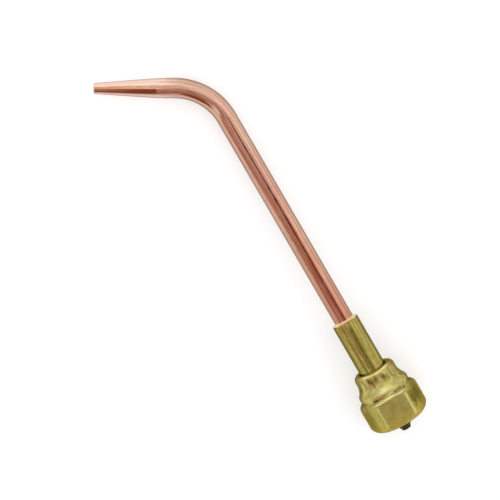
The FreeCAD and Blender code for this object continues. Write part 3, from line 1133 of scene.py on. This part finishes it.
def make_floor():
    """Pale floor that keeps the shadow and otherwise shows white."""
    stage = settings().stage
    floor = add_primitive(bpy.ops.mesh.primitive_plane_add, size=stage.floor_size, location=(0, 0, 0))
    floor.name = "floor"
    material, tree = new_material(
        "Pale floor", Base_Color=opaque(stage.floor_colour), Roughness=0.9, Specular_IOR_Level=0.0,
        Emission_Color=(1.0, 1.0, 1.0, 1.0),
    )
    lift = calculate(tree, "MULTIPLY", seen_directly(tree), stage.floor_lift)
    tree.links.new(lift, tree.nodes["Principled BSDF"].inputs["Emission Strength"])
    floor.data.materials.append(material)


def room_parts():
    """Parts of the room that reflections show.

    Each has its centre, long way, half length, half width, fade, squareness and tone.
    """
    wall, window, black = (0.64, 0.47, 0.46), (1.3, 1.25, 1.25), (0.06, 0.012, 0.006)
    brown, deep_brown, red_brown = (0.5, 0.33, 0.27), (0.25, 0.09, 0.05), (0.42, 0.17, 0.09)
    grey_olive, olive = (0.1, 0.09, 0.05), (0.1, 0.08, 0.03)
    return (
        (overhead(-45, 1.2), (1, 0, 0), 0.15, 0.62, 0.08, 6, wall),
        (towards(146, 50), (-0.56, -0.83, 0), 0.3, 0.44, 0.15, 2, brown),
        (towards(131, 28), (-0.75, -0.66, 0), 0.29, 0.3, 0.15, 2, deep_brown),
        (towards(-25, 42), (0.42, 0.91, 0), 0.35, 0.2, 0.3, 2, window),
        (overhead(-10, -6.5), (1, 0, 0), 0.024, 0.8, 0.25, 4, red_brown),
        (overhead(9, -4.1), (1, 0, 0), 0.036, 0.2, 0.2, 2, black),
        (overhead(8, -8.5), (1, 0, 0), 0.022, 0.22, 0.25, 4, grey_olive),
        (overhead(-52, -8.7), (1, 0, 0), 0.026, 0.13, 0.25, 4, olive),
    )


def make_world():
    """Even light from the room; reflections show its darker horizon and its parts."""
    world = bpy.data.worlds.new("Studio")
    bpy.context.scene.world = world
    world.use_nodes = True
    tree = world.node_tree
    direction = add_node(tree, "TexCoord").outputs["Generated"]
    reflected = add_node(tree, "LightPath").outputs["Is Glossy Ray"]
    level = settings().stage.reflected_light
    horizon = map_range(tree, up_the_piece(tree, direction), 0.6, 0.1)
    room = mix_colours(tree, horizon, (level, level, level, 1.0), HORIZON)
    for centre, along, half_length, half_width, fade, squareness, tone in room_parts():
        long_way = (Vector(along) - Vector(along).dot(centre) * centre).normalized()
        offset = calculate_vector(tree, "SUBTRACT", direction, centre)["Vector"]
        shares = []
        for way, half in ((long_way, half_length), (centre.cross(long_way), half_width)):
            share = calculate_vector(tree, "DOT_PRODUCT", offset, way / half)["Value"]
            away = calculate(tree, "ABSOLUTE", share)
            shares.append(calculate(tree, "POWER", away, squareness))
        distance = calculate(tree, "POWER", calculate(tree, "ADD", *shares), 1 / squareness)
        cover = map_range(tree, distance, 1 + fade, 1 - fade)
        room = mix_colours(tree, cover, room, opaque(tone))
    light = settings().stage.room_light
    shown = mix_colours(tree, reflected, (light, light, light, 1.0), room)
    tree.links.new(shown, tree.nodes["Background"].inputs["Color"])


def towards(azimuth, elevation):
    """Direction from the tip; azimuth 0 is towards +X and 90 towards +Y."""
    turn, rise = math.radians(azimuth), math.radians(elevation)
    return Vector((math.cos(turn) * math.cos(rise), math.sin(turn) * math.cos(rise), math.sin(rise)))


def overhead(side, lean):
    """Direction from the tip, in degrees to the right of straight up and then towards the bend."""
    turn, tilt = math.radians(side), math.radians(lean)
    return Vector((math.sin(tilt), -math.cos(tilt) * math.sin(turn), math.cos(tilt) * math.cos(turn)))


def add_softbox(name, azimuth, elevation, width, height, brightness, distance=1.3):
    """Rectangular lamp that faces the tip."""
    out = towards(azimuth, elevation)
    lamp = bpy.data.lights.new(name, "AREA")
    lamp.shape = "RECTANGLE"
    lamp.size, lamp.size_y = width, height
    lamp.energy = brightness * math.pi * width * height
    softbox = bpy.data.objects.new(name, lamp)
    bpy.context.scene.collection.objects.link(softbox)
    softbox.location = out * distance
    softbox.rotation_mode = "QUATERNION"
    softbox.rotation_quaternion = out.to_track_quat("Z", "Y")


def make_lights():
    add_softbox("right_softbox", azimuth=-90, elevation=40, width=1.6, height=0.9, brightness=0.2)
    add_softbox("left_softbox", azimuth=90, elevation=12, width=1.6, height=0.4, brightness=0.2)
    add_softbox("far_softbox", azimuth=0, elevation=22, width=1.4, height=0.9, brightness=0.3)


def view_axes():
    """The camera's axes: right, up and back towards the viewer."""
    right = Vector((-0.49477, -0.86443, 0.08918))
    back = Vector((0.19423, -0.00997, 0.98091))
    right = (right - right.dot(back) * back).normalized()
    back = back.normalized()
    return right, back.cross(right), back


def make_camera():
    stage = settings().stage
    right, up, back = view_axes()
    camera = bpy.data.objects.new("camera", bpy.data.cameras.new("camera"))
    bpy.context.scene.collection.objects.link(camera)
    middle = IMAGE_PIXELS / 2
    pixel = MM / stage.view_scale
    place = back * stage.view_distance
    place += right * (middle - stage.view_x) * pixel + up * (stage.view_y - middle) * pixel
    camera.matrix_world = Matrix.Translation(place) @ Matrix((right, up, back)).transposed().to_4x4()
    camera.data.sensor_width = SENSOR_WIDTH
    camera.data.lens = SENSOR_WIDTH * stage.view_distance / (IMAGE_PIXELS * pixel)
    camera.data.clip_end = 100
    bpy.context.scene.camera = camera


class VIEW3D_PT_brazing_tip(bpy.types.Panel):
    """Sizes and steps of the brazing tip"""

    bl_label = "Brazing Tip"
    bl_idname = "VIEW3D_PT_brazing_tip"
    bl_space_type = "VIEW_3D"
    bl_region_type = "UI"
    bl_category = "Brazing Tip"

    def draw(self, context):
        for operator in OPERATORS:
            self.layout.operator(operator.bl_idname)
        for group in (settings().tube, settings().tail, settings().nut, settings().stage):
            box = self.layout.box()
            for name in group.bl_rna.properties.keys():
                if name not in ("rna_type", "name"):
                    box.prop(group, name)


OPERATORS = (
    OBJECT_OT_brazing_tip_tube,
    OBJECT_OT_brazing_tip_tail,
    OBJECT_OT_brazing_tip_braze,
    OBJECT_OT_brazing_tip_seals,
    OBJECT_OT_brazing_tip_nut,
    OBJECT_OT_brazing_tip_stage,
)
GROUPS = (BrazingTipTube, BrazingTipTail, BrazingTipNut, BrazingTipStage, BrazingTipSettings)


def register():
    for kind in (*GROUPS, *OPERATORS, VIEW3D_PT_brazing_tip):
        bpy.utils.register_class(kind)
    bpy.types.Scene.brazing_tip = PointerProperty(type=BrazingTipSettings)


def unregister():
    del bpy.types.Scene.brazing_tip
    for kind in reversed((*GROUPS, *OPERATORS, VIEW3D_PT_brazing_tip)):
        bpy.utils.unregister_class(kind)


def main():
    register()
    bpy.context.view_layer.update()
    bpy.ops.object.brazing_tip_tube()
    bpy.ops.object.brazing_tip_tail()
    bpy.ops.object.brazing_tip_braze()
    bpy.ops.object.brazing_tip_seals()
    bpy.ops.object.brazing_tip_nut()
    bpy.ops.object.brazing_tip_stage()


if __name__ == "__main__":
    main()
